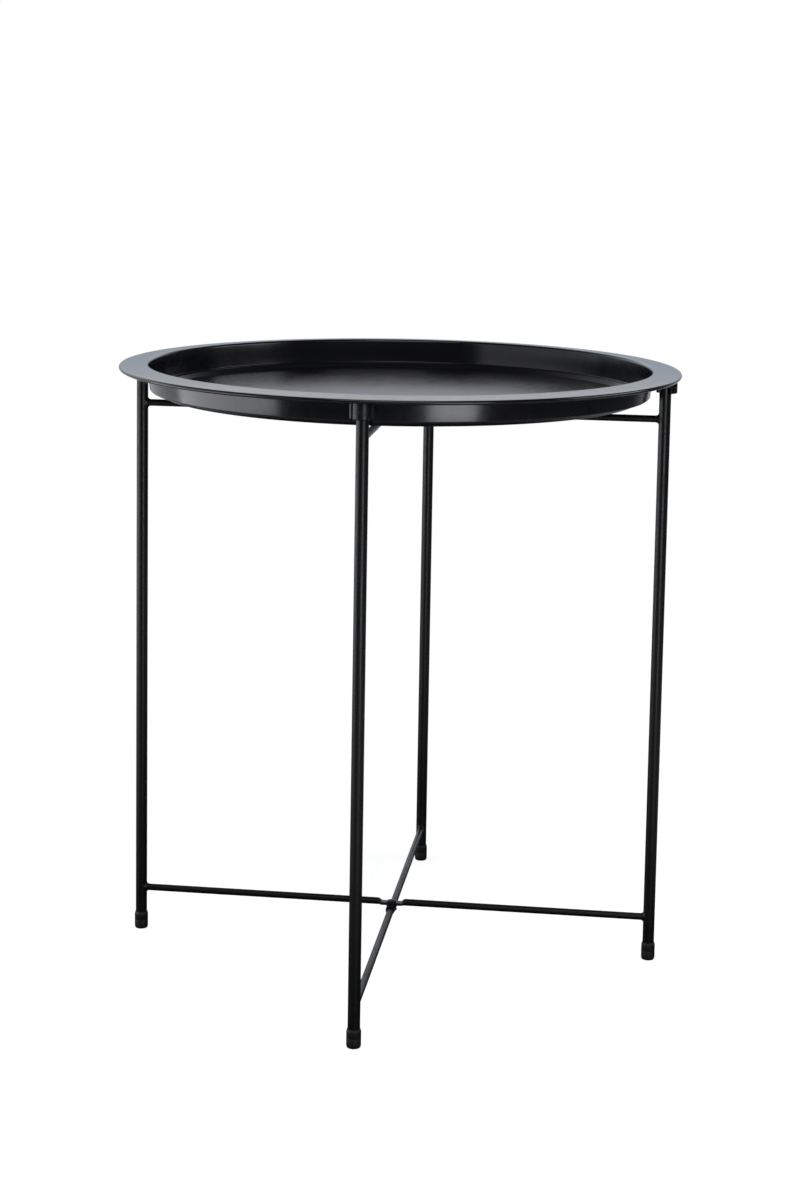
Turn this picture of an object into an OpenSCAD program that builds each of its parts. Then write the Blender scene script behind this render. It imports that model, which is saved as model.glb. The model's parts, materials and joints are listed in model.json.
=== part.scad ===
// Folding side table: a round sheet-metal tray on two welded tube frames that cross and turn about one
// upright centre line. The origin is on the floor, in the middle of the footprint. X runs from the left leg
// to the right leg, Y from the front leg to the back leg, and Z is up.

/* [Tray] */
// Outer diameter of the tray, over its rolled edge
tray_d = 470; // [400:1:600]
// Height of the rim above the floor, at its crest before rounding
table_h = 505; // [400:1:650]
// Width of the rim, from its crest to the outer edge
rim_w = 24; // [20:0.5:32]
// Fall of the rim, from its crest to the rolled edge
rim_drop = 1.4; // [1:0.1:4]
// Depth of the tray, from the crest down to the floor
tray_depth = 24.5; // [20:0.5:32]
// Height of the small step round the floor
step_h = 3.5; // [3:0.1:6]
// Width of the ledge on top of that step
ledge_w = 5.5; // [4:0.1:9]
// Width of the slope between the floor and the ledge
step_w = 4; // [2:0.1:6]
// Inward lean of the wall, from the crest down to the ledge
wall_lean = 2; // [0:0.1:6]
// Thickness of the tray's sheet
sheet_t = 0.8; // [0.6:0.1:1]
// Outer radius of the rolled edge
curl_r = 1.6; // [1.2:0.1:2.6]

/* [Frames] */
// Angle between the side frame and the cross frame
open_angle = 90; // [60:1:120]
// Outer diameter of a leg tube
tube_d = 9.8; // [7.5:0.1:11.5]
// Wall of a leg tube
tube_wall = 1; // [0.8:0.1:1.5]
// Diameter of a rail
rail_d = 5.8; // [4:0.1:6.5]
// Gap between the tray and the cross frame's top rail
tray_gap = 4.3; // [1:0.1:8]
// Space between the two top rails, one above the other
top_rail_space = 1.1; // [0.4:0.1:14]
// Height of the lower bottom rail's centre line above the floor
bottom_rail_z = 30.6; // [24:0.1:80]
// Space between the two bottom rails, one above the other
bottom_rail_space = 0.4; // [0.4:0.1:6]
// Height of a weld bead beside its rail
weld_h = 2.2; // [1:0.1:3]
// Reach of a weld bead along its rail
weld_reach = 3.2; // [2:0.1:5]

/* [Pivots] */
// Width of the flattened middle of a rail
pad_w = 8.4; // [7:0.1:12]
// Length of the flattened middle of a rail
pad_l = 16; // [12:0.5:30]
// Thickness of the flattened middle of a rail
pad_t = 2.4; // [1.6:0.1:2.6]
// Length over which a rail changes from round to flat
pad_blend = 3.5; // [2:0.1:8]
// How far a flattened middle lies inside the side of its rail that faces the other rail
pad_inset = 0.4; // [0.2:0.1:0.8]
// Diameter of a pivot rivet's shank
rivet_d = 4; // [3:0.1:5]
// Diameter of a pivot rivet's heads
rivet_head_d = 7.8; // [6.5:0.1:9]
// Height of a rivet's head
rivet_head_h = 1.6; // [1:0.1:1.8]
// Outer diameter of the washers and of the spacer
washer_d = 9.2; // [8:0.1:12]
// Thickness of a washer under a rivet's lower head
washer_t = 0.8; // [0.5:0.1:1.2]

/* [Feet and clips] */
// Wall of a foot cap, round its tube
foot_wall = 0.9; // [0.7:0.1:3]
// Height of a foot cap
foot_h = 15; // [12:0.5:25]
// Thickness of a foot cap's sole
sole_t = 3; // [2:0.1:5]
// Width of the rounding at the bottom of a foot cap
foot_round = 0.9; // [0.4:0.1:2.4]
// Height of the rounding at the bottom of a foot cap
foot_round_h = 3; // [1:0.1:5]
// Height of the slope at the top of a foot cap
foot_slope_h = 2.3; // [0.5:0.1:4]
// Height of a clip
clip_h = 15; // [12:0.5:16]
// Wall of a clip's rounded nose, on each side of its tube
clip_wall = 2.7; // [1.6:0.1:3.4]
// How far a clip's flat ears stand out on each side of its tube
ear_reach = 4.4; // [2:0.1:5]
// Thickness of the ears
ear_t = 1.8; // [1:0.1:3]
// How far a clip's inner lug stands out from its tube
lug_reach = 2.6; // [1.5:0.1:3]
// Height of the windows in a clip's sides, where the tube shows
window_h = 5.2; // [3:0.1:6]
// Thickness of a clip's roof, over the end of the tube
roof_t = 3.6; // [2:0.1:5]

/* [Clearances] */
// Radial clearance of a part that turns on another
turn_gap = 0.08; // [0.05:0.01:0.1]
// Radial clearance of a part that is fixed on another
seat_gap = 0.02; // [0.01:0.01:0.05]
// Gap between flat faces that turn on each other
face_gap = 0.1; // [0.05:0.01:0.2]
// Gap between a clip and the tray's channel
clip_gap = 0.3; // [0.3:0.05:0.5]

/* [Hidden] */

powder_black = [0.09, 0.09, 0.1];
plastic_black = [0.06, 0.06, 0.06];
black_steel = [0.12, 0.12, 0.13];

round_fn = 64;
tray_fn = 180;
overrun = 1;
flat_lead = 0.2;
weld_side_inset = 0.4;
weld_core_r = 1.5;
head_rim = 0.35;
foot_lip = 0.15;

// The sheet is drawn along its middle surface, from the centre of the floor out to the rolled edge.
tray_r = tray_d / 2;
half_t = sheet_t / 2;
floor_z = table_h - tray_depth;
floor_mid_z = floor_z - half_t;
crest_mid_z = table_h - half_t;
crest_mid_r = tray_r - rim_w;
ledge_r = crest_mid_r - wall_lean;
step_top_r = ledge_r - ledge_w;
curl_mid_r = curl_r - half_t;
curl_sweep = 262;
rim_run = rim_w - curl_r;
rim_fall_angle = atan(rim_drop / rim_run);
rim_end = [tray_r - curl_r + curl_mid_r * sin(rim_fall_angle), crest_mid_z - rim_drop];
crest_bend = 2;
ledge_bend = 1.2;
step_bend = 1.2;
bend_steps = 7;
curl_steps = 22;

// The legs stand in the middle of the channel between the tray's wall and its rolled edge.
channel_in = crest_mid_r + half_t;
channel_out = tray_r - 2 * curl_r;
leg_r = (channel_in + channel_out) / 2;
clip_r = (channel_out - channel_in) / 2 - clip_gap;
tube_r = tube_d / 2;

// The clips' tops follow the underside of the rim where it is lowest over them.
rim_under_z = rim_end[1] - half_t;
clip_top_z = rim_under_z - clip_gap;
clip_z = clip_top_z - clip_h;
tube_top_z = clip_top_z - roof_t - face_gap;
ear_lift = 1.2;
lug_lift = 0.6;
lug_inset = 0.4;
window_inset = 1.2;

// Rail heights: the cross frame's top rail runs just under the tray, the side frame's below it.
cross_top_z = floor_z - sheet_t - tray_gap - rail_d / 2;
side_top_z = cross_top_z - rail_d - top_rail_space;
cross_bottom_z = bottom_rail_z;
side_bottom_z = bottom_rail_z + rail_d + bottom_rail_space;
pad_shift = rail_d / 2 - pad_inset - pad_t / 2;

// Leg directions, from the centre.
right_turn = 0;
left_turn = 180;
back_turn = open_angle;
front_turn = open_angle + 180;

function unit(v) = v / norm(v);

function cross_z(u, v) = u[0] * v[1] - u[1] * v[0];

// Points of an arc, from the start angle through the sweep.
function arc(centre, r, start, sweep, steps) =
    [for (i = [0 : steps])
        let (a = start + sweep * i / steps)
        centre + r * [cos(a), sin(a)]];

// Points of the arc that rounds corner b between a and c to radius r.
function bend(a, b, c, r) =
    let (
        u = unit(a - b),
        v = unit(c - b),
        half = acos(u * v) / 2,
        centre = b + unit(u + v) * r / sin(half),
        from = b + u * r / tan(half) - centre,
        start = atan2(from[1], from[0]),
        sweep = sign(cross_z(b - a, c - b)) * (180 - 2 * half)
    )
    arc(centre, r, start, sweep, bend_steps);

// Unit normal, to the left of the path, at point i.
function normal(path, i) =
    let (
        along = unit(path[min(i + 1, len(path) - 1)] - path[max(i - 1, 0)])
    )
    [-along[1], along[0]];

// Closed outline of a sheet of thickness t whose middle line is the path.
function sheet_outline(path, t) = concat(
    [for (i = [0 : len(path) - 1]) path[i] + normal(path, i) * t / 2],
    [for (i = [len(path) - 1 : -1 : 0]) path[i] - normal(path, i) * t / 2]
);

// Middle line of the rolled edge, starting where the rim ends.
function curl_path() =
    let (
        top = 90 - rim_fall_angle,
        centre = rim_end - curl_mid_r * [cos(top), sin(top)]
    )
    arc(centre, curl_mid_r, top, -curl_sweep, curl_steps);

function tray_path() =
    let (
        middle = [0, floor_mid_z],
        floor_edge = [step_top_r - step_w, floor_mid_z],
        step_top = [step_top_r, floor_mid_z + step_h],
        wall_foot = [ledge_r, floor_mid_z + step_h],
        crest = [crest_mid_r, crest_mid_z]
    )
    concat(
        [middle],
        bend(middle, floor_edge, step_top, step_bend),
        bend(floor_edge, step_top, wall_foot, step_bend),
        bend(step_top, wall_foot, crest, ledge_bend),
        bend(wall_foot, crest, rim_end, crest_bend),
        curl_path()
    );

module tray() {
    color(powder_black)
        rotate_extrude($fn = tray_fn)
            polygon(sheet_outline(tray_path(), sheet_t));
}

// Moves a piece that is drawn on the Z axis out to the leg in the given direction.
module at_leg(turn) {
    rotate([0, 0, turn])
        translate([leg_r, 0, 0])
            children();
}

module leg(turn) {
    color(powder_black)
        at_leg(turn)
            translate([0, 0, sole_t])
                difference() {
                    cylinder(r = tube_r, h = tube_top_z - sole_t, $fn = round_fn);
                    translate([0, 0, -overrun])
                        cylinder(
                            r = tube_r - tube_wall,
                            h = tube_top_z - sole_t + 2 * overrun,
                            $fn = round_fn
                        );
                }
}

// Space cut off above a rail's middle, from where it starts to flatten down to the face of the pad.
module flattening(face_z) {
    blend_x = pad_l / 2 + pad_blend;
    rotate([90, 0, 0])
        linear_extrude(height = 2 * pad_w, center = true)
            polygon([
                [-blend_x, rail_d / 2 + flat_lead], [-pad_l / 2, face_z],
                [pad_l / 2, face_z], [blend_x, rail_d / 2 + flat_lead],
                [blend_x, pad_w], [-blend_x, pad_w]
            ]);
}

// Rail through the centre at height z, from leg to leg: a round rod, pressed flat and wide in the middle.
// shift moves the flat pad up, and hole_gap is the clearance round the rivet.
module rail(z, turn, shift, hole_gap) {
    rod_r = rail_d / 2;
    blend_x = pad_l / 2 + pad_blend;
    color(powder_black)
        rotate([0, 0, turn])
            translate([0, 0, z])
                difference() {
                    rotate([0, 90, 0])
                        rotate_extrude($fn = round_fn)
                            polygon([
                                [0, -leg_r], [rod_r, -leg_r],
                                [rod_r, -blend_x], [pad_w / 2, -pad_l / 2],
                                [pad_w / 2, pad_l / 2], [rod_r, blend_x],
                                [rod_r, leg_r], [0, leg_r]
                            ]);
                    flattening(shift + pad_t / 2);
                    mirror([0, 0, 1])
                        flattening(pad_t / 2 - shift);
                    translate([0, 0, -rail_d])
                        cylinder(r = rivet_d / 2 + hole_gap, h = 2 * rail_d, $fn = round_fn);
                    for (side = [0, 180])
                        rotate([0, 0, side])
                            translate([leg_r, 0, -rail_d])
                                cylinder(r = tube_r, h = 2 * rail_d, $fn = round_fn);
                }
}

// Fillet weld round the end of a rail at height z, drawn about the leg on the Z axis.
module weld(z) {
    root_r = rail_d / 2;
    base_r = root_r + weld_h;
    half_w = tube_r - weld_side_inset;
    bead = [for (i = [0 : bend_steps])
        let (a = 90 * i / bend_steps)
        [root_r + weld_h * (1 - sin(a)), tube_r + weld_reach * (1 - cos(a))]];
    translate([0, 0, z])
        difference() {
            intersection() {
                rotate([0, -90, 0])
                    rotate_extrude($fn = round_fn)
                        polygon(concat([[root_r, weld_core_r], [base_r, weld_core_r]], bead));
                translate([-tube_r - weld_reach, -half_w, -base_r])
                    cube([tube_r + weld_reach, 2 * half_w, 2 * base_r]);
            }
            translate([0, 0, -base_r - overrun])
                cylinder(r = tube_r, h = 2 * (base_r + overrun), $fn = round_fn);
        }
}

module frame_welds(turns, heights) {
    color(powder_black)
        for (turn = turns)
            at_leg(turn)
                for (z = heights)
                    weld(z);
}

// Domed head, flat side down on the XY plane.
module rivet_head() {
    head_r = rivet_head_d / 2;
    dome = [for (i = [0 : bend_steps])
        let (a = 90 * i / bend_steps)
        [head_r * cos(a), rivet_head_h * (head_rim + (1 - head_rim) * sin(a))]];
    rotate_extrude($fn = round_fn)
        polygon(concat([[0, 0], [head_r, 0]], dome));
}

// Pivot rivet through the pads of two rails: its upper head lies on the upper pad and its lower head
// holds the washer up against the lower pad.
module rivet(lower_z, upper_z) {
    low = washer_bottom_z(lower_z);
    high = upper_z - pad_shift + pad_t / 2 + face_gap;
    color(black_steel) {
        translate([0, 0, low])
            cylinder(d = rivet_d, h = high - low, $fn = round_fn);
        translate([0, 0, high])
            rivet_head();
        translate([0, 0, low])
            mirror([0, 0, 1])
                rivet_head();
    }
}

function washer_bottom_z(lower_z) = lower_z + pad_shift - pad_t / 2 - face_gap - washer_t;

module washer(z, thickness) {
    color(black_steel)
        translate([0, 0, z])
            difference() {
                cylinder(d = washer_d, h = thickness, $fn = round_fn);
                translate([0, 0, -overrun])
                    cylinder(r = rivet_d / 2 + turn_gap, h = thickness + 2 * overrun, $fn = round_fn);
            }
}

// Ring between the pads of two rails with the given space between them.
module pad_ring(lower_z, space) {
    washer(lower_z + rail_d / 2 - pad_inset + face_gap, space + 2 * pad_inset - 2 * face_gap);
}

module foot(turn) {
    bore_r = tube_r + seat_gap;
    foot_r = tube_r + foot_wall;
    base_round = [for (i = [0 : bend_steps])
        let (a = -90 + 90 * i / bend_steps)
        [foot_r - foot_round * (1 - cos(a)), foot_round_h * (1 + sin(a))]];
    cup = concat(
        [[0, 0]],
        base_round,
        [[foot_r, foot_h - foot_slope_h], [bore_r + foot_lip, foot_h]],
        [[bore_r, foot_h], [bore_r, sole_t], [0, sole_t]]
    );
    color(plastic_black)
        at_leg(turn)
            rotate_extrude($fn = round_fn)
                polygon(cup);
}

// Clip on the end of a leg, with its rounded nose towards +X, away from the table's centre. Level with its
// windows only the nose and the inner lug reach down past the end of the tube.
module clip_body() {
    nose_r = tube_r + clip_wall;
    nose_x = clip_r - nose_r;
    lug_w = tube_d - 2 * lug_inset;
    ear_w = tube_d + 2 * ear_reach;
    window_x = tube_r - window_inset;
    window_z = clip_z + window_h;
    difference() {
        union() {
            translate([nose_x, 0, clip_z])
                cylinder(r = nose_r, h = clip_h, $fn = round_fn);
            translate([window_x, -ear_w / 2, clip_z + ear_lift])
                cube([ear_t, ear_w, clip_h - ear_lift]);
            translate([-tube_r - lug_reach, -lug_w / 2, clip_z + lug_lift])
                cube([tube_r + lug_reach, lug_w, clip_h - lug_lift]);
        }
        translate([-window_x, -ear_w / 2, clip_z - overrun])
            cube([2 * window_x, ear_w, window_h + overrun]);
        translate([0, 0, clip_z - overrun])
            cylinder(
                r = tube_r + turn_gap,
                h = tube_top_z + face_gap - clip_z + overrun,
                $fn = round_fn
            );
    }
}

module clip(turn) {
    color(plastic_black)
        at_leg(turn)
            intersection() {
                clip_body();
                translate([0, 0, clip_z - overrun])
                    cylinder(r = clip_r, h = clip_h + 2 * overrun, $fn = round_fn);
            }
}

module left_leg() { leg(left_turn); }
module right_leg() { leg(right_turn); }
module front_leg() { leg(front_turn); }
module back_leg() { leg(back_turn); }

module side_frame_top_rail() { rail(side_top_z, right_turn, pad_shift, seat_gap); }
module side_frame_bottom_rail() { rail(side_bottom_z, right_turn, -pad_shift, seat_gap); }
module side_frame_welds() { frame_welds([left_turn, right_turn], [side_bottom_z, side_top_z]); }

module cross_frame_top_rail() { rail(cross_top_z, back_turn, -pad_shift, turn_gap); }
module cross_frame_bottom_rail() { rail(cross_bottom_z, back_turn, pad_shift, turn_gap); }
module cross_frame_welds() { frame_welds([front_turn, back_turn], [cross_bottom_z, cross_top_z]); }

module top_pivot_rivet() { rivet(side_top_z, cross_top_z); }
module top_pivot_spacer() { pad_ring(side_top_z, top_rail_space); }
module top_rivet_washer() { washer(washer_bottom_z(side_top_z), washer_t); }
module bottom_pivot_rivet() { rivet(cross_bottom_z, side_bottom_z); }
module bottom_pivot_washer() { pad_ring(cross_bottom_z, bottom_rail_space); }
module bottom_rivet_washer() { washer(washer_bottom_z(cross_bottom_z), washer_t); }

module left_foot() { foot(left_turn); }
module right_foot() { foot(right_turn); }
module front_foot() { foot(front_turn); }
module back_foot() { foot(back_turn); }

module left_clip() { clip(left_turn); }
module right_clip() { clip(right_turn); }
module front_clip() { clip(front_turn); }
module back_clip() { clip(back_turn); }

tray();
left_leg();
right_leg();
front_leg();
back_leg();
side_frame_top_rail();
side_frame_bottom_rail();
side_frame_welds();
cross_frame_top_rail();
cross_frame_bottom_rail();
cross_frame_welds();
top_pivot_rivet();
top_pivot_spacer();
top_rivet_washer();
bottom_pivot_rivet();
bottom_pivot_washer();
bottom_rivet_washer();
left_foot();
right_foot();
front_foot();
back_foot();
left_clip();
right_clip();
front_clip();
back_clip();
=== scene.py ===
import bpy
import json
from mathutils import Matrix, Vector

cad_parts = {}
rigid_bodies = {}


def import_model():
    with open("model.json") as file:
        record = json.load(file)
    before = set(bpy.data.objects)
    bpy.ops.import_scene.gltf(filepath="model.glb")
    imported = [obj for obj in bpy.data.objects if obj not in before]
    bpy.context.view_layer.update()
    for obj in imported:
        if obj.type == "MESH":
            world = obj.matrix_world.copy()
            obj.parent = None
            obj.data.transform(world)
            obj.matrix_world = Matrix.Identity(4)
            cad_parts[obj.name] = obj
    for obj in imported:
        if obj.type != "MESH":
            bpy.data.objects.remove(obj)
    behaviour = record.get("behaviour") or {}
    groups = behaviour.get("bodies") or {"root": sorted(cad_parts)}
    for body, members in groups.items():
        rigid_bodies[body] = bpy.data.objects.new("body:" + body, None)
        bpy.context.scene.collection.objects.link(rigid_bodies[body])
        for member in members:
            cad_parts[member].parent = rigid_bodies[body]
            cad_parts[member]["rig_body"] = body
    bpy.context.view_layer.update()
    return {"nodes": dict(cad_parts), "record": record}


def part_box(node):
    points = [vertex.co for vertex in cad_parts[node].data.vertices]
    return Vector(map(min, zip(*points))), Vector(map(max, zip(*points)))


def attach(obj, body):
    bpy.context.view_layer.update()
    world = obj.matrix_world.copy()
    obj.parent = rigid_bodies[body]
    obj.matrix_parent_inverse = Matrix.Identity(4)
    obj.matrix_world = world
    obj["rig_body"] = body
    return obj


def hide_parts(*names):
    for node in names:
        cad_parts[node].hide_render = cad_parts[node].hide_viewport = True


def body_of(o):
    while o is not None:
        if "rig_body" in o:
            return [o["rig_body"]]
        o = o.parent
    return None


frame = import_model()

import json
import math

import bmesh
import bpy
from mathutils import Matrix, Vector

# Lengths are in millimetres until a mesh is made, and angles in degrees.
MM = 0.001

# Camera and its picture.
CAM_AZIMUTH = 7.12
CAM_DISTANCE = 1853.1
CAM_HEIGHT = 708.5
CAM_PITCH = 7.07
CAM_ROLL = 0.95
LENS = 66.56
SENSOR = 36.0
SHIFT_Y = -0.1707

# The pressed sheet of the tray, the same as the CAD.
RIM_W = 24.0
RIM_DROP = 1.4
TRAY_DEPTH = 24.5
STEP_H = 3.5
LEDGE_W = 5.5
STEP_W = 4.0
WALL_LEAN = 2.0
SHEET_T = 0.8
CURL_R = 1.6
CURL_SWEEP = 262.0
CREST_BEND = 2.0
LEDGE_BEND = 1.2
STEP_BEND = 1.2
# The lathed crest stays this far under the top of the CAD's.
CREST_EASE = 0.02
# Rings of the mesh along the flat parts, as parts of the way from their start.
FLOOR_RINGS = (0.08, 0.2, 0.4, 0.6, 0.8, 0.92)
WALL_RINGS = (0.35, 0.6)
RIM_RINGS = (0.3, 0.5, 0.7)
TRAY_STEPS = 256
# Widths of the rubbed bands at the crest and the outer edge, and how deep the crest's band goes.
CREST_WEAR_W = 1.6
CREST_WEAR_DEPTH = 1.5
EDGE_WEAR_W = 1.0

# Frame sizes, the same as the CAD.
TUBE_R = 4.9
ROD_R = 2.9
PAD_W = 8.4
PAD_L = 16.0
PAD_T = 2.4
PAD_BLEND = 3.5
PAD_INSET = 0.4
RIVET_R = 2.0
WELD_H = 2.2
WELD_REACH = 3.2

# Steps round a small turned piece.
STEPS = 64

# The studio, in metres.
FLOOR_R = 1.3
FLOOR_DROP = 0.0002
FLOOR_STEPS = 96
# The camera sees paper that turns to glowing white between these distances from the middle.
PAPER_FADE = (0.35, 1.1)
PAPER_NEAR = (0.80, 0.80, 0.80)
PAPER_FAR = (0.30, 0.30, 0.30)
GLOW_NEAR = 0.76
GLOW_FAR = 0.97
# The table sees a darker floor near it: painted shadow of the table.
SHADE_FADE = (0.3, 0.7)
SHADE_NEAR = (0.1, 0.1, 0.1)
SHADE_FAR = (0.6, 0.6, 0.6)
WHITE = (1.0, 1.0, 1.0)
DAYLIGHT = (0.97, 0.98, 1.02)
# The backdrop lies this way from the table, and fades in between these parts of a direction.
BACKDROP_SIDE = (-0.42, 0.91, 0.0)
BACKDROP_FADE = (0.45, 0.78)
# How bright the backdrop is, by the upward part of a direction. It is cooler at COOL_HEIGHT.
BACKDROP = [(-0.45, 0.0), (-0.32, 0.7), (0.1, 0.55), (0.27, 1.3), (0.36, 1.1), (0.5, 0.35), (0.8, 0.3)]
COOL_HEIGHT = 0.1
COOL = (0.80, 0.95, 1.12)
DARK_ROOM = (0.055, 0.056, 0.062)
# Name, place as azimuth, distance and height, target, size, power in watts, and tint.
SOFTBOXES = [
    ("left_low", (-75, 1.25, 0.24), (0, 0, 0.24), (1.4, 0.42), 4.6, DAYLIGHT),
    ("left_high", (-70, 1.55, 1.0), (0, 0, 0.6), (2.4, 1.0), 4.0, DAYLIGHT),
    ("right_strip", (29, 1.3, 0.22), (0, 0, 0.22), (0.46, 0.38), 2.2, DAYLIGHT),
    ("right_fill", (95, 1.3, 0.9), (0.5, 0, 0), (1.0, 0.5), 4.0, DAYLIGHT),
    ("top_softbox", (0, 1.0, 2.2), (0, 0, 0), (1.2, 1.2), 6.0, WHITE),
    ("front_panel", (20, 2.2, 1.6), (0, 0, 0.45), (2.2, 0.8), 4.0, WHITE),
]


# ---------------------------------------------------------------- outlines

def mid(low, high, part=0.5):
    return low + (high - low) * part


def polar(r, turn):
    return Vector((r * math.cos(math.radians(turn)), r * math.sin(math.radians(turn))))


def arc(centre, r, start, sweep, steps):
    return [Vector(centre) + polar(r, start + sweep * i / steps) for i in range(steps + 1)]


def bend(a, b, c, r, steps=8):
    """The arc that rounds corner b, between a and c, to radius r."""
    a, b, c = Vector(a), Vector(b), Vector(c)
    u, v = (a - b).normalized(), (c - b).normalized()
    half = math.acos(max(-1.0, min(1.0, u.dot(v)))) / 2
    if half > math.radians(89.9) or r <= 0:
        return [b]
    centre = b + (u + v).normalized() * r / math.sin(half)
    start = b + u * r / math.tan(half) - centre
    angle = math.degrees(math.atan2(start.y, start.x))
    side = 1 if (b - a).cross(c - b) > 0 else -1
    return arc(centre, r, angle, side * (180 - 2 * math.degrees(half)), steps)


def rounded(corners, steps=5):
    """Closed outline from (x, y, radius) corners."""
    out = []
    for i, (x, y, r) in enumerate(corners):
        before, after = corners[i - 1], corners[(i + 1) % len(corners)]
        out += bend(before[:2], (x, y), after[:2], r, steps)
    return out


def side_of(line, i):
    """Unit vector to the left of the line at point i."""
    along = (line[min(i + 1, len(line) - 1)] - line[max(i - 1, 0)]).normalized()
    return Vector((-along.y, along.x))


def inset(outline, by):
    """A closed anticlockwise outline moved in by a short distance."""
    out = []
    for i, p in enumerate(outline):
        u = (p - outline[i - 1]).normalized()
        v = (outline[(i + 1) % len(outline)] - p).normalized()
        along = (u + v).normalized()
        out.append(p + Vector((-along.y, along.x)) * by)
    return out


# ---------------------------------------------------------------- meshes

def finish_mesh(name, bm, sharp=35.0):
    bmesh.ops.remove_doubles(bm, verts=bm.verts, dist=1e-7)
    bmesh.ops.recalc_face_normals(bm, faces=bm.faces)
    me = bpy.data.meshes.new(name)
    bm.to_mesh(me)
    bm.free()
    me.shade_smooth()
    me.set_sharp_from_angle(angle=math.radians(sharp))
    ob = bpy.data.objects.new(name, me)
    bpy.context.scene.collection.objects.link(ob)
    return ob


def skin(bm, rings, close_ring=True, cap_start=False, cap_end=False):
    """Quads between rings of vertices, all of the same length."""
    for a, b in zip(rings, rings[1:]):
        count = len(a) if close_ring else len(a) - 1
        for i in range(count):
            j = (i + 1) % len(a)
            corners = [a[i], a[j], b[j], b[i]]
            unique = list(dict.fromkeys(corners))
            if len(unique) > 2:
                bm.faces.new(unique)
    for wanted, ring in ((cap_start, rings[0]), (cap_end, rings[-1])):
        if wanted:
            bm.faces.new(list(dict.fromkeys(ring)))


def lathe_into(bm, outline, centre, steps=STEPS):
    """A closed (radius, height) outline turned about the upright line through centre."""
    cx, cy = centre
    rings = []
    for r, z in outline:
        if r < 1e-4:
            v = bm.verts.new((cx * MM, cy * MM, z * MM))
            rings.append([v] * steps)
            continue
        ring = []
        for k in range(steps):
            turn = 2 * math.pi * k / steps
            place = (cx + r * math.cos(turn), cy + r * math.sin(turn), z)
            ring.append(bm.verts.new(Vector(place) * MM))
        rings.append(ring)
    closed = rings if outline[0][0] < 1e-4 and outline[-1][0] < 1e-4 else rings + [rings[0]]
    skin(bm, closed)


def lathe(name, outline, centre=(0, 0), steps=STEPS, sharp=35.0):
    bm = bmesh.new()
    lathe_into(bm, outline, centre, steps)
    return finish_mesh(name, bm, sharp)


def loft_into(bm, outline, z_low, z_high, low_round, high_round, place, steps=4):
    """A flat outline raised from z_low to z_high, with both edges rounded."""
    levels = []
    for i in range(steps + 1):
        a = math.pi / 2 * i / steps
        levels.append((low_round * (1 - math.sin(a)), z_low + low_round * (1 - math.cos(a))))
    for i in range(steps + 1):
        a = math.pi / 2 * i / steps
        levels.append((high_round * (1 - math.cos(a)), z_high - high_round * (1 - math.sin(a))))
    rings = []
    for by, z in levels:
        ring = [bm.verts.new(place @ Vector((p.x, p.y, z)) * MM) for p in inset(outline, by)]
        rings.append(ring)
    skin(bm, rings, cap_start=True, cap_end=True)


def combine(ob, other, operation):
    """Adds the other solid to ob or cuts it away, for good."""
    mod = ob.modifiers.new("combine", "BOOLEAN")
    mod.operation = operation
    mod.solver = "EXACT"
    mod.object = other
    bpy.context.view_layer.update()
    evaluated = ob.evaluated_get(bpy.context.evaluated_depsgraph_get())
    result = bpy.data.meshes.new_from_object(evaluated)
    ob.modifiers.clear()
    old = ob.data
    ob.data = result
    bpy.data.meshes.remove(old)
    bpy.data.objects.remove(other)
    return ob


def smooth(ob, sharp=35.0):
    ob.data.shade_smooth()
    ob.data.set_sharp_from_angle(angle=math.radians(sharp))
    return ob


def stand_in(ob, node, material):
    """ob takes the place of a CAD node: it joins the node's body, hides the node and takes the given
    material.
    """
    cad = frame["nodes"][node]
    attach(ob, body_of(cad)[0])
    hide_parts(node)
    ob.data.materials.clear()
    ob.data.materials.append(material)
    return ob


# ---------------------------------------------------------------- materials

def node_in(tree, kind, values=None, **settings):
    """A shader node with its settings, and its inputs set to values or joined to other nodes' outputs."""
    node = tree.nodes.new(kind)
    for key, value in settings.items():
        setattr(node, key, value)
    for key, value in (values or {}).items():
        if isinstance(value, bpy.types.NodeSocket):
            tree.links.new(value, node.inputs[key])
        else:
            node.inputs[key].default_value = value
    return node


def new_material(name):
    mat = bpy.data.materials.new(name)
    mat.use_nodes = True
    tree = mat.node_tree
    tree.nodes.clear()
    coords = node_in(tree, "ShaderNodeTexCoord").outputs["Object"]
    shader = node_in(tree, "ShaderNodeBsdfPrincipled")
    out = node_in(tree, "ShaderNodeOutputMaterial")
    tree.links.new(shader.outputs["BSDF"], out.inputs["Surface"])
    return mat, tree, coords, shader


def noise(tree, coords, scale, detail=2.0, rough=0.5):
    values = {"Vector": coords, "Scale": scale, "Detail": detail, "Roughness": rough}
    return node_in(tree, "ShaderNodeTexNoise", values).outputs["Fac"]


def remap(tree, value, low, high, to_low, to_high):
    values = {"Value": value, "From Min": low, "From Max": high, "To Min": to_low, "To Max": to_high}
    return node_in(tree, "ShaderNodeMapRange", values).outputs["Result"]


def blend_colour(tree, factor, a, b):
    node = node_in(tree, "ShaderNodeMix", data_type="RGBA")
    tree.links.new(factor, node.inputs["Factor"])
    for key, value in (("A", a), ("B", b)):
        socket = [s for s in node.inputs if s.name == key and s.type == "RGBA"][0]
        if isinstance(value, bpy.types.NodeSocket):
            tree.links.new(value, socket)
        else:
            socket.default_value = (*value, 1.0)
    return [s for s in node.outputs if s.type == "RGBA"][0]


def math_in(tree, operation, a, b):
    return node_in(tree, "ShaderNodeMath", {0: a, 1: b}, operation=operation).outputs[0]


def bump(tree, height, depth):
    """Full-strength bump from a height pattern that is depth millimetres deep."""
    values = {"Height": height, "Distance": depth * MM, "Strength": 1.0}
    return node_in(tree, "ShaderNodeBump", values).outputs["Normal"]


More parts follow.
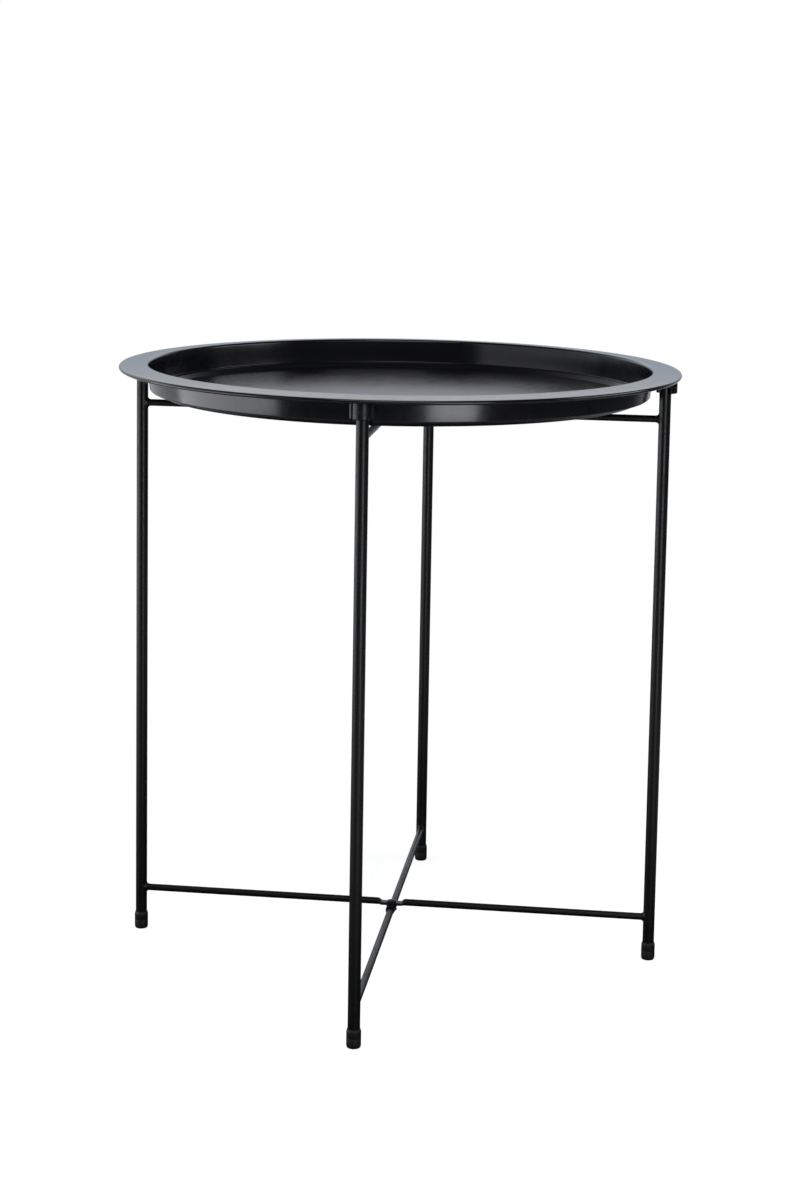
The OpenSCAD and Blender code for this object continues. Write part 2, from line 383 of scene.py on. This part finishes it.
# Noise scales are in cycles a metre, and depths in millimetres.
COAT_DRIFT = 22.0
COAT_CLOUD = 160.0
RUB_POLISH = 0.08
PLASTIC_DRIFT = 90.0
PLASTIC_IOR = 1.47
STEEL_PATCH = 420.0
STEEL_GRAIN = 2600.0
STEEL_GRAIN_DEPTH = 0.008
STEEL_DARK = (0.022, 0.022, 0.024)
STEEL_LIGHT = (0.055, 0.053, 0.052)
STEEL_METAL = 0.55
# Most of a noise pattern lies between these.
NOISE_LOW = 0.35
NOISE_HIGH = 0.65


def coat_material(name, dark, light, worn, rough_low, rough_high, peel_size, peel_depth, ior):
    """Baked powder coat: orange peel, a faint drift of tone and gloss, and edges rubbed a little smoother."""
    mat, tree, coords, shader = new_material(name)
    drift = noise(tree, coords, COAT_DRIFT, 3.0)
    cloud = noise(tree, coords, COAT_CLOUD, 2.0)
    peel = noise(tree, coords, 1.0 / (peel_size * MM), 2.0, 0.45)
    wear = node_in(tree, "ShaderNodeAttribute", attribute_name="wear").outputs["Fac"]
    rub = math_in(tree, "MULTIPLY", wear, remap(tree, cloud, 0.4, 0.62, 0.0, 1.0))
    tone = blend_colour(tree, remap(tree, drift, NOISE_LOW, NOISE_HIGH, 0.0, 1.0), dark, light)
    tree.links.new(blend_colour(tree, rub, tone, worn), shader.inputs["Base Color"])
    rough = remap(tree, math_in(tree, "ADD", drift, cloud), 0.75, 1.25, rough_low, rough_high)
    rough = math_in(tree, "SUBTRACT", rough, math_in(tree, "MULTIPLY", rub, RUB_POLISH))
    tree.links.new(rough, shader.inputs["Roughness"])
    tree.links.new(bump(tree, peel, peel_depth), shader.inputs["Normal"])
    shader.inputs["IOR"].default_value = ior
    return mat


def plastic_material(name, dark, light, rough_low, rough_high, grain_size, grain_depth):
    """Moulded plastic with a fine spark-eroded grain, and painted shade in the hollows of the grain."""
    mat, tree, coords, shader = new_material(name)
    drift = noise(tree, coords, PLASTIC_DRIFT, 3.0)
    grain = noise(tree, coords, 1.0 / (grain_size * MM), 3.0, 0.6)
    # The grain that raises the bump also sets the tone: painted shade, darker in its hollows.
    tone = remap(tree, math_in(tree, "ADD", drift, grain), 0.7, 1.3, 0.0, 1.0)
    tree.links.new(blend_colour(tree, tone, dark, light), shader.inputs["Base Color"])
    rough = remap(tree, drift, NOISE_LOW, NOISE_HIGH, rough_low, rough_high)
    tree.links.new(rough, shader.inputs["Roughness"])
    tree.links.new(bump(tree, grain, grain_depth), shader.inputs["Normal"])
    shader.inputs["IOR"].default_value = PLASTIC_IOR
    return mat


def steel_material(name):
    """Blackened steel of the rivets and washers: thin oxide over metal, with a fine grain."""
    mat, tree, coords, shader = new_material(name)
    patch = noise(tree, coords, STEEL_PATCH, 4.0, 0.6)
    fine = noise(tree, coords, STEEL_GRAIN, 2.0)
    tone = remap(tree, patch, 0.35, 0.7, 0.0, 1.0)
    colour = blend_colour(tree, tone, STEEL_DARK, STEEL_LIGHT)
    tree.links.new(colour, shader.inputs["Base Color"])
    tree.links.new(remap(tree, patch, 0.3, 0.7, 0.28, 0.5), shader.inputs["Roughness"])
    tree.links.new(bump(tree, fine, STEEL_GRAIN_DEPTH), shader.inputs["Normal"])
    shader.inputs["Metallic"].default_value = STEEL_METAL
    return mat


TRAY_COAT = coat_material(
    "tray_coat", dark=(0.0028, 0.0034, 0.0056), light=(0.0042, 0.0050, 0.0078),
    worn=(0.010, 0.0108, 0.013), rough_low=0.16, rough_high=0.21,
    peel_size=2.4, peel_depth=0.003, ior=1.6)
FRAME_COAT = coat_material(
    "frame_coat", dark=(0.0032, 0.0032, 0.0036), light=(0.0046, 0.0046, 0.0050),
    worn=(0.012, 0.012, 0.013), rough_low=0.30, rough_high=0.40,
    peel_size=1.4, peel_depth=0.004, ior=1.45)
CLIP_PLASTIC = plastic_material(
    "clip_plastic", dark=(0.0035, 0.0035, 0.0038), light=(0.0060, 0.0060, 0.0064),
    rough_low=0.28, rough_high=0.40, grain_size=0.35, grain_depth=0.006)
FOOT_PLASTIC = plastic_material(
    "foot_plastic", dark=(0.0055, 0.0055, 0.0055), light=(0.0095, 0.0095, 0.0095),
    rough_low=0.48, rough_high=0.62, grain_size=0.3, grain_depth=0.012)
BLACK_STEEL = steel_material("black_steel")


# ---------------------------------------------------------------- tray

tray_low, tray_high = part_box("tray")
tray_r = min(tray_high.x, tray_high.y, -tray_low.x, -tray_low.y) / MM
mounts = {mount["name"]: mount for mount in frame["record"]["mounts"]}
floor_z = mounts["tray_floor"]["pos_m"][2] / MM


def tray_line():
    """Middle line of the tray's sheet, from the centre of the floor to the free edge of the roll."""
    half_t = SHEET_T / 2
    low = floor_z - half_t
    crest = Vector((tray_r - RIM_W, floor_z + TRAY_DEPTH - half_t - CREST_EASE))
    ledge_r = crest.x - WALL_LEAN
    step_r = ledge_r - LEDGE_W
    roll_r = CURL_R - half_t
    fall = math.degrees(math.atan(RIM_DROP / (RIM_W - CURL_R)))
    rim_end = Vector((tray_r - CURL_R + roll_r * math.sin(math.radians(fall)), crest.y - RIM_DROP))
    roll_centre = rim_end - polar(roll_r, 90 - fall)
    middle, floor_edge = Vector((0, low)), Vector((step_r - STEP_W, low))
    step_top, wall_foot = Vector((step_r, low + STEP_H)), Vector((ledge_r, low + STEP_H))
    line = [middle] + [Vector((step_r * part, low)) for part in FLOOR_RINGS]
    line += bend(middle, floor_edge, step_top, STEP_BEND, 8)
    line += bend(floor_edge, step_top, wall_foot, STEP_BEND, 8)
    line += bend(step_top, wall_foot, crest, LEDGE_BEND, 12)
    line += [wall_foot.lerp(crest, part) for part in WALL_RINGS]
    line += bend(wall_foot, crest, rim_end, CREST_BEND, 12)
    line += [crest.lerp(rim_end, part) for part in RIM_RINGS]
    line += arc(roll_centre, roll_r, 90 - fall, -CURL_SWEEP, 30)
    return line


def sheet_outline(line, thick, edge_steps=6):
    """Closed outline round a sheet, with its free edge rounded."""
    upper = [p + side_of(line, i) * thick / 2 for i, p in enumerate(line)]
    lower = [p - side_of(line, i) * thick / 2 for i, p in enumerate(line)]
    across = side_of(line, len(line) - 1)
    start = math.degrees(math.atan2(across.y, across.x))
    edge = arc(line[-1], thick / 2, start, -180, edge_steps)[1:-1]
    return upper + edge + lower[::-1]


line = tray_line()
outline = sheet_outline(line, SHEET_T)
outline[0].x = outline[-1].x = 0.0
tray = lathe("tray_pressing", outline, steps=TRAY_STEPS, sharp=40.0)
wear = tray.data.attributes.new("wear", "FLOAT", "POINT")
crest_r = tray_r - RIM_W
for v in tray.data.vertices:
    r = math.hypot(v.co.x, v.co.y) / MM
    near_top = v.co.z / MM > floor_z + TRAY_DEPTH - CREST_WEAR_DEPTH
    on_crest = math.exp(-((r - crest_r) / CREST_WEAR_W) ** 2) if near_top else 0.0
    on_edge = math.exp(-((r - tray_r) / EDGE_WEAR_W) ** 2)
    wear.data[v.index].value = max(on_crest, on_edge)
stand_in(tray, "tray", TRAY_COAT)


# ---------------------------------------------------------------- frames

# Distances in from a rod's end to the rings of its mesh.
ROD_RINGS = [0.0, 1.2, 3.0, 6.0, 12.0, 30.0, 70.0, 120.0, 170.0]
ROD_STEPS = 48
ROD_SHARP = 50.0
PAD_STEPS = 24
# At 1 the pad's section is an ellipse, and at less it is squarer.
PAD_POWER = 0.42
BORE_SPARE = 5


def leg_place(node):
    """Centre line of the leg, and the turn that carries +X from the table's centre to it."""
    low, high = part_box(node)
    centre = (low + high) / 2 / MM
    return centre.x, centre.y, math.atan2(centre.y, centre.x)


def pad_amount(x):
    """0 where the rod is round and 1 where it is pressed flat."""
    part = (PAD_L / 2 + PAD_BLEND - abs(x)) / PAD_BLEND
    part = max(0.0, min(1.0, part))
    return part * part * (3 - 2 * part)


def rail(name, node, leg_node, up):
    """A rod from leg to leg, pressed flat in the middle. up is 1 where its pad lies towards the top."""
    low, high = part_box(leg_node)
    reach = (low + high).to_2d().length / 2 / MM
    rail_low, rail_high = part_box(node)
    turn = math.atan2((low + high).y, (low + high).x)
    centre_z = mid(rail_low.z, rail_high.z) / MM
    shift = up * (ROD_R - PAD_INSET - PAD_T / 2)
    stations = {-(reach - d) + TUBE_R for d in ROD_RINGS + [reach - TUBE_R - PAD_L]}
    flat = PAD_L / 2 + PAD_BLEND
    stations |= {-flat * (1 - i / PAD_STEPS) for i in range(PAD_STEPS + 1)}
    stations = sorted(stations)
    stations = stations + [-x for x in reversed(stations[:-1])]
    place = Matrix.Translation((0, 0, centre_z)) @ Matrix.Rotation(turn, 4, "Z")
    bm = bmesh.new()
    rings = []
    for k, x in enumerate(stations):
        amount = pad_amount(x)
        half_h, half_w = mid(ROD_R, PAD_T / 2, amount), mid(ROD_R, PAD_W / 2, amount)
        power = mid(1.0, PAD_POWER, amount)
        ring = []
        for i in range(ROD_STEPS):
            t = 2 * math.pi * i / ROD_STEPS
            c, s = math.cos(t), math.sin(t)
            y = half_w * math.copysign(abs(c) ** power, c)
            z = half_h * math.copysign(abs(s) ** power, s) + shift * amount
            if k in (0, len(stations) - 1):
                x_end = reach - math.sqrt(TUBE_R ** 2 - y ** 2)
                ring.append(bm.verts.new(place @ Vector((math.copysign(x_end, x), y, z)) * MM))
            else:
                ring.append(bm.verts.new(place @ Vector((x, y, z)) * MM))
        rings.append(ring)
    skin(bm, rings, cap_start=True, cap_end=True)
    bmesh.ops.triangulate(bm, faces=[f for f in bm.faces if len(f.verts) > 4])
    rod = finish_mesh(name, bm, ROD_SHARP)
    under, over = centre_z - BORE_SPARE, centre_z + BORE_SPARE
    bore = lathe(name + "_bore", [(0, under), (RIVET_R, under), (RIVET_R, over), (0, over)])
    combine(rod, bore, "DIFFERENCE")
    return stand_in(smooth(rod, ROD_SHARP), node, FRAME_COAT)


rail("side_top_rod", "side_frame_top_rail", "right_leg", 1)
rail("side_bottom_rod", "side_frame_bottom_rail", "right_leg", -1)
rail("cross_top_rod", "cross_frame_top_rail", "back_leg", -1)
rail("cross_bottom_rod", "cross_frame_bottom_rail", "back_leg", 1)


WELD_AROUND = 96
WELD_ACROSS = 8
# Height and count of a bead's ripples, and how unevenly they follow each other.
WELD_RIPPLE = 0.10
WELD_RIPPLES = 9
WELD_SWAY = 0.6
WELD_TURN = 0.7
# Room inside the CAD's bead at its sides, at its top and along the rod, for the ripples.
WELD_SIDE_ROOM = 0.6
WELD_TOP_ROOM = 0.25
WELD_REACH_ROOM = 0.35
# How far the bead sinks into the rod, at its root and at its thin end, and into the tube.
WELD_IN_ROD = 0.2
WELD_END_IN_ROD = 0.05
WELD_IN_TUBE = 0.5


def weld_ripple(t):
    beat = abs(math.sin(WELD_RIPPLES * t + WELD_SWAY * math.sin(3 * t)))
    return WELD_RIPPLE * beat + WELD_RIPPLE * math.sin(2 * t + WELD_TURN)


def weld_into(bm, place, height):
    """Fillet bead round the end of a rod where it meets a tube that stands on the local Z axis."""
    side_r = TUBE_R - WELD_SIDE_ROOM
    top_r = ROD_R + WELD_H - WELD_TOP_ROOM
    root_r = ROD_R - WELD_IN_ROD
    rings = []
    for i in range(WELD_AROUND):
        t = 2 * math.pi * i / WELD_AROUND
        c, s = math.cos(t), math.sin(t)
        ripple = weld_ripple(t)
        toe = 1 / math.sqrt((c / side_r) ** 2 + (s / top_r) ** 2) + ripple * abs(s)
        reach = WELD_REACH - WELD_REACH_ROOM + ripple
        profile = [(root_r, -WELD_IN_TUBE), (toe, -WELD_IN_TUBE)]
        for k in range(WELD_ACROSS + 1):
            a = math.pi / 2 * k / WELD_ACROSS
            rho = mid(ROD_R - WELD_END_IN_ROD, toe, 1 - math.sin(a))
            profile.append((rho, reach * (1 - math.cos(a))))
        profile.append((root_r, reach))
        ring = []
        for rho, out in profile:
            y, z = rho * c, rho * s
            x = -math.sqrt(max(TUBE_R ** 2 - y ** 2, 0.0)) - out
            ring.append(bm.verts.new(place @ Vector((x, y, z + height)) * MM))
        rings.append(ring)
    skin(bm, rings + [rings[0]])


def welds(name, node, leg_nodes, rail_nodes):
    bm = bmesh.new()
    for leg in leg_nodes:
        x, y, turn = leg_place(leg)
        place = Matrix.Translation((x, y, 0)) @ Matrix.Rotation(turn, 4, "Z")
        for rod in rail_nodes:
            low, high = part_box(rod)
            weld_into(bm, place, mid(low.z, high.z) / MM)
    return stand_in(finish_mesh(name, bm, ROD_SHARP), node, FRAME_COAT)


welds("side_beads", "side_frame_welds", ["left_leg", "right_leg"],
      ["side_frame_top_rail", "side_frame_bottom_rail"])
welds("cross_beads", "cross_frame_welds", ["front_leg", "back_leg"],
      ["cross_frame_top_rail", "cross_frame_bottom_rail"])

for leg in ("left_leg", "right_leg", "front_leg", "back_leg"):
    frame["nodes"][leg].material_slots[0].material = FRAME_COAT


# ---------------------------------------------------------------- rivets and washers

WASHER_PLAY = 0.08
WASHER_EDGE = 0.16
RIVET_HEAD_H = 1.6
# The dome starts at this part of the head's height and at this angle.
DOME_FOOT = 0.3
DOME_START = 4
DOME_STEPS = 12
# Points of the rounded rim under the dome, out from the head's radius and up from its flat side.
RIVET_RIM = [(-0.12, 0.0), (-0.02, 0.08), (0.0, 0.25)]


def ring_outline(bore, outer, low, high, edge):
    return [
        Vector((bore, low + edge)), Vector((bore + edge, low)),
        *arc((outer - edge, low + edge), edge, -90, 90, 4),
        *arc((outer - edge, high - edge), edge, 0, 90, 4),
        Vector((bore + edge, high)), Vector((bore, high - edge)),
    ]


def washer(name, node):
    low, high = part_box(node)
    centre = (low + high) / 2 / MM
    bore, outer = RIVET_R + WASHER_PLAY, (high.x - low.x) / 2 / MM
    outline = ring_outline(bore, outer, low.z / MM, high.z / MM, WASHER_EDGE)
    return stand_in(lathe(name, outline, centre.to_2d()), node, BLACK_STEEL)


def rivet(name, node):
    """Domed heads with a small rounded rim, and the shank between them."""
    low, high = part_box(node)
    centre = (low + high) / 2 / MM
    head_r = (high.x - low.x) / 2 / MM
    half = [Vector((RIVET_R, 0.0))] + [Vector((head_r + out, up)) for out, up in RIVET_RIM]
    for i in range(DOME_STEPS + 1):
        a = math.radians(DOME_START + (90 - DOME_START) * i / DOME_STEPS)
        up = RIVET_HEAD_H * mid(DOME_FOOT, 1.0, math.sin(a))
        half.append(Vector((head_r * math.cos(a), up)))
    half[-1].x = 0.0
    top, bottom = high.z / MM, low.z / MM
    upper = [Vector((p.x, top - RIVET_HEAD_H + p.y)) for p in half]
    lower = [Vector((p.x, bottom + RIVET_HEAD_H - p.y)) for p in reversed(half)]
    return stand_in(lathe(name, lower + upper, centre.to_2d()), node, BLACK_STEEL)


washer("spacer_bush", "top_pivot_spacer")
washer("top_washer", "top_rivet_washer")
washer("turning_washer", "bottom_pivot_washer")
washer("bottom_washer", "bottom_rivet_washer")
rivet("top_rivet", "top_pivot_rivet")
rivet("bottom_rivet", "bottom_pivot_rivet")


# ---------------------------------------------------------------- feet

FOOT_PLAY = 0.02
FOOT_ROUND = 0.9
FOOT_ROUND_H = 3.0
FOOT_ROUND_STEPS = 12
FOOT_SLOPE_H = 2.3
FOOT_SHOULDER = 1.6
FOOT_SHARP = 40.0
SOLE_T = 3.0
# Recess under the sole: its height, and how far in from the base its roof and its rim start.
RECESS_H = 0.4
RECESS_IN = 1.5
RECESS_RIM = 1.2
# Parting groove round the body.
GROOVE_Z = 7.75
GROOVE_HALF_W = 0.15
GROOVE_EDGE = 0.02
GROOVE_DEPTH = 0.09
# The slope's end and the lip round the tube, out from the bore and up from the top.
SLOPE_END = (0.2, -0.1)
FOOT_LIP = [(0.25, -0.12), (0.1, 0.0), (0.0, -0.1)]


def foot(name, node):
    """Moulded cap: rounded base with a shallow recess, straight body, and a soft slope up to the tube."""
    low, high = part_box(node)
    centre = (low + high) / 2 / MM
    r, top = (high.x - low.x) / 2 / MM, high.z / MM
    bore = TUBE_R + FOOT_PLAY
    base = r - FOOT_ROUND
    outline = [Vector((0, RECESS_H)), Vector((base - RECESS_IN, RECESS_H)), Vector((base - RECESS_RIM, 0.0))]
    for i in range(FOOT_ROUND_STEPS + 1):
        a = math.radians(-90 + 90 * i / FOOT_ROUND_STEPS)
        outline.append(Vector((base + FOOT_ROUND * math.cos(a), FOOT_ROUND_H * (1 + math.sin(a)))))
    over_groove = GROOVE_Z + GROOVE_HALF_W
    outline.append(Vector((r - GROOVE_EDGE, GROOVE_Z - GROOVE_HALF_W)))
    outline.append(Vector((r - GROOVE_DEPTH, GROOVE_Z)))
    outline.append(Vector((r - GROOVE_EDGE, over_groove)))
    slope_end = (bore + SLOPE_END[0], top + SLOPE_END[1])
    outline += bend((r, over_groove), (r, top - FOOT_SLOPE_H), slope_end, FOOT_SHOULDER, 6)
    outline += [Vector((bore + out, top + up)) for out, up in FOOT_LIP]
    outline += [Vector((bore, SOLE_T)), Vector((0, SOLE_T))]
    return stand_in(lathe(name, outline, centre.to_2d(), sharp=FOOT_SHARP), node, FOOT_PLASTIC)


for side in ("left", "right", "front", "back"):
    foot(side + "_foot_cap", side + "_foot")


# ---------------------------------------------------------------- clips

CLIP_WALL = 2.7
EAR_REACH = 4.4
EAR_T = 1.8
EAR_SLANT = 0.9
EAR_EASE = 0.1
EAR_ROUND = 0.3
EAR_BACK_ROUND = 0.4
LUG_REACH = 2.6
LUG_LIFT = 0.6
LUG_INSET = 0.4
LUG_ROUND = 0.8
WINDOW_H = 5.2
WINDOW_INSET = 1.2
ROOF_T = 3.6
# Edges are rounded by these at the clip's top, over its windows, and under its nose and its heel.
TOP_ROUND = 0.8
OVER_WINDOW_ROUND = 0.2
NOSE_UNDER_ROUND = 1.1
HEEL_UNDER_ROUND = 0.7
HEEL_CORNER = 0.2
# The lower parts run up into the upper one by this much, a hair inside its faces.
MELD_H = 1.5
MELD_GAP = 0.03
MELD_ROUND = 0.1
CLIP_PLAY = 0.08
BORE_CHAMFER = 0.3
BORE_OPEN = 2
CLIP_SHARP = 32.0
NOSE_STEPS = 16
# The arc over a window starts this many degrees behind the window's corner.
ARC_SKIP = 2


def circle_y(centre_x, r, x):
    return math.sqrt(max(r * r - (x - centre_x) ** 2, 0.0))


def mirrored(half):
    """Closed outline from the points of its upper half, front to back."""
    return half + [Vector((p.x, -p.y)) for p in reversed(half)]


def clip(name, node, leg_node):
    """Moulded clip: rounded nose, flat ears either side, a lug inwards, and windows where the tube shows."""
    x, y, turn = leg_place(leg_node)
    low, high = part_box(node)
    bottom, top = low.z / MM, high.z / MM
    spans = [(c.x / MM - x) * math.cos(turn) + (c.y / MM - y) * math.sin(turn) for c in (low, high)]
    reach = max(spans)
    nose_r = TUBE_R + CLIP_WALL
    nose_x = reach - nose_r
    win_x = TUBE_R - WINDOW_INSET
    ear_out = win_x + EAR_T
    ear_y = TUBE_R + EAR_REACH
    swing_y = circle_y(0, reach, ear_out)
    lug_y = TUBE_R - LUG_INSET
    lug_x = -TUBE_R - LUG_REACH
    meld_top = bottom + WINDOW_H + MELD_H
    place = Matrix.Translation((x, y, 0)) @ Matrix.Rotation(turn, 4, "Z")

    def nose_and_ear(ear_in):
        edge = math.degrees(math.atan2(circle_y(nose_x, nose_r, ear_out), ear_out - nose_x))
        tip = (ear_out - EAR_SLANT, ear_y)
        half = arc((nose_x, 0), nose_r, 0, edge, NOSE_STEPS)
        half += bend(half[-1], (ear_out, swing_y - EAR_EASE), tip, EAR_ROUND, 3)
        half += bend((ear_out, swing_y), tip, (ear_in, ear_y), EAR_ROUND, 3)
        return half + bend((ear_out, ear_y), (ear_in, ear_y), (ear_in, 0), EAR_BACK_ROUND, 3)

    nose_back = math.degrees(math.atan2(circle_y(nose_x, nose_r, win_x), win_x - nose_x))
    lug_side = 180 - math.degrees(math.asin(lug_y / nose_r))
    half = nose_and_ear(win_x)
    half += arc((nose_x, 0), nose_r, nose_back + ARC_SKIP, lug_side - nose_back - ARC_SKIP, NOSE_STEPS)
    half += bend((0, lug_y), (lug_x, lug_y), (lug_x, 0), LUG_ROUND, 5)
    outline = mirrored(half[1:]) + half[:1]
    bm = bmesh.new()
    loft_into(bm, outline, bottom + WINDOW_H, top, OVER_WINDOW_ROUND, TOP_ROUND, place)
    body = finish_mesh(name, bm)

    front = nose_and_ear(win_x + MELD_GAP)
    outline = inset(mirrored(front[1:]) + front[:1], MELD_GAP)
    bm = bmesh.new()
    loft_into(bm, outline, bottom, meld_top, NOSE_UNDER_ROUND, MELD_ROUND, place)
    combine(body, finish_mesh(name + "_front", bm), "UNION")

    back_y, back_x = lug_y - MELD_GAP, lug_x + MELD_GAP
    outline = rounded([
        (back_x, back_y, LUG_ROUND), (back_x, -back_y, LUG_ROUND),
        (-win_x, -back_y, HEEL_CORNER), (-win_x, back_y, HEEL_CORNER),
    ])
    bm = bmesh.new()
    loft_into(bm, outline, bottom + LUG_LIFT, meld_top, HEEL_UNDER_ROUND, MELD_ROUND, place)
    combine(body, finish_mesh(name + "_heel", bm), "UNION")

    bore, under = TUBE_R + CLIP_PLAY, bottom - BORE_OPEN
    roof = top - ROOF_T
    hole = [(0, under), (bore, under), (bore, roof - BORE_CHAMFER), (bore - BORE_CHAMFER, roof), (0, roof)]
    combine(body, lathe(name + "_bore", [Vector(p) for p in hole], (x, y)), "DIFFERENCE")
    return stand_in(smooth(body, CLIP_SHARP), node, CLIP_PLASTIC)


for side in ("left", "right", "front", "back"):
    clip(side + "_clip_moulding", side + "_clip", side + "_leg")


# ---------------------------------------------------------------- studio

def pale_floor():
    """Matt disc that fades to plain white, and that throws little light back up on the black metal."""
    bm = bmesh.new()
    bmesh.ops.create_circle(bm, cap_ends=True, segments=FLOOR_STEPS, radius=FLOOR_R)
    floor = finish_mesh("studio_floor", bm)
    floor.location.z = -FLOOR_DROP
    mat = bpy.data.materials.new("studio_floor")
    mat.use_nodes = True
    tree = mat.node_tree
    tree.nodes.clear()
    coords = node_in(tree, "ShaderNodeTexCoord").outputs["Object"]
    out_from_middle = node_in(tree, "ShaderNodeVectorMath", {0: coords}, operation="LENGTH").outputs["Value"]
    fade = remap(tree, out_from_middle, *PAPER_FADE, 0.0, 1.0)
    paper = blend_colour(tree, fade, PAPER_NEAR, PAPER_FAR)
    seen = node_in(tree, "ShaderNodeBsdfDiffuse", {"Color": paper}).outputs[0]
    strength = remap(tree, fade, 0.0, 1.0, GLOW_NEAR, GLOW_FAR)
    glow = node_in(tree, "ShaderNodeEmission", {"Strength": strength}).outputs[0]
    seen = node_in(tree, "ShaderNodeAddShader", {0: seen, 1: glow}).outputs[0]
    # Painted shadow: the floor that the table sees is darker near it.
    shade = blend_colour(tree, remap(tree, out_from_middle, *SHADE_FADE, 0.0, 1.0), SHADE_NEAR, SHADE_FAR)
    dim = node_in(tree, "ShaderNodeBsdfDiffuse", {"Color": shade}).outputs[0]
    plain = node_in(tree, "ShaderNodeLightPath").outputs["Is Camera Ray"]
    shown = node_in(tree, "ShaderNodeMixShader", {"Fac": plain, 1: dim, 2: seen}).outputs[0]
    tree.links.new(shown, node_in(tree, "ShaderNodeOutputMaterial").inputs["Surface"])
    floor.data.materials.append(mat)


def softbox(name, place, target, size, power, tint):
    light = bpy.data.lights.new(name, "AREA")
    light.shape = "RECTANGLE"
    light.size, light.size_y = size
    light.energy = power
    light.color = tint
    ob = bpy.data.objects.new(name, light)
    bpy.context.scene.collection.objects.link(ob)
    ob.location = place
    ob.rotation_euler = (Vector(target) - Vector(place)).to_track_quat("-Z", "Y").to_euler()
    ob.visible_camera = False


def world_light():
    """White to the camera. The table sees a white backdrop behind it and a dark room in front."""
    world = bpy.data.worlds.new("studio")
    bpy.context.scene.world = world
    world.use_nodes = True
    tree = world.node_tree
    tree.nodes.clear()
    direction = node_in(tree, "ShaderNodeTexCoord").outputs["Generated"]
    up = node_in(tree, "ShaderNodeSeparateXYZ", {"Vector": direction}).outputs["Z"]
    facing = node_in(tree, "ShaderNodeVectorMath", {0: direction, 1: BACKDROP_SIDE}, operation="DOT_PRODUCT")
    across = remap(tree, facing.outputs["Value"], *BACKDROP_FADE, 0.0, 1.0)
    ramp = node_in(tree, "ShaderNodeValToRGB", {"Fac": remap(tree, up, -1.0, 1.0, 0.0, 1.0)})
    stops = ramp.color_ramp.elements
    while len(stops) < len(BACKDROP):
        stops.new(1.0)
    for stop, (height, level) in zip(stops, BACKDROP):
        stop.position = mid(0.5, 1.0, height)
        tint = COOL if height == COOL_HEIGHT else DAYLIGHT
        stop.color = (*(level * part for part in tint), 1.0)
    behind = blend_colour(tree, across, DARK_ROOM, ramp.outputs["Color"])
    plain = node_in(tree, "ShaderNodeLightPath").outputs["Is Camera Ray"]
    shown = blend_colour(tree, plain, behind, WHITE)
    back = node_in(tree, "ShaderNodeBackground", {"Color": shown})
    out = node_in(tree, "ShaderNodeOutputWorld")
    tree.links.new(back.outputs[0], out.inputs["Surface"])


def at(azimuth, distance, height):
    """A place round the table. Azimuth 0 is in front and 90 on the right."""
    turn = math.radians(azimuth)
    return math.sin(turn) * distance, -math.cos(turn) * distance, height


pale_floor()
world_light()
for name, place, *rest in SOFTBOXES:
    softbox(name, at(*place), *rest)

scene = bpy.context.scene
scene.view_settings.view_transform = "Standard"


# ---------------------------------------------------------------- camera

camera = bpy.data.objects.new("camera", bpy.data.cameras.new("camera"))
scene.collection.objects.link(camera)
camera.data.lens = LENS
camera.data.sensor_width = SENSOR
camera.data.sensor_fit = "AUTO"
camera.data.shift_y = SHIFT_Y
azimuth = math.radians(CAM_AZIMUTH)
away = Vector((math.sin(azimuth), -math.cos(azimuth), 0)) * CAM_DISTANCE * MM
camera.matrix_world = (
    Matrix.Translation(away + Vector((0, 0, CAM_HEIGHT * MM)))
    @ Matrix.Rotation(azimuth, 4, "Z")
    @ Matrix.Rotation(math.radians(90 - CAM_PITCH), 4, "X")
    @ Matrix.Rotation(math.radians(CAM_ROLL), 4, "Z")
)
scene.camera = camera
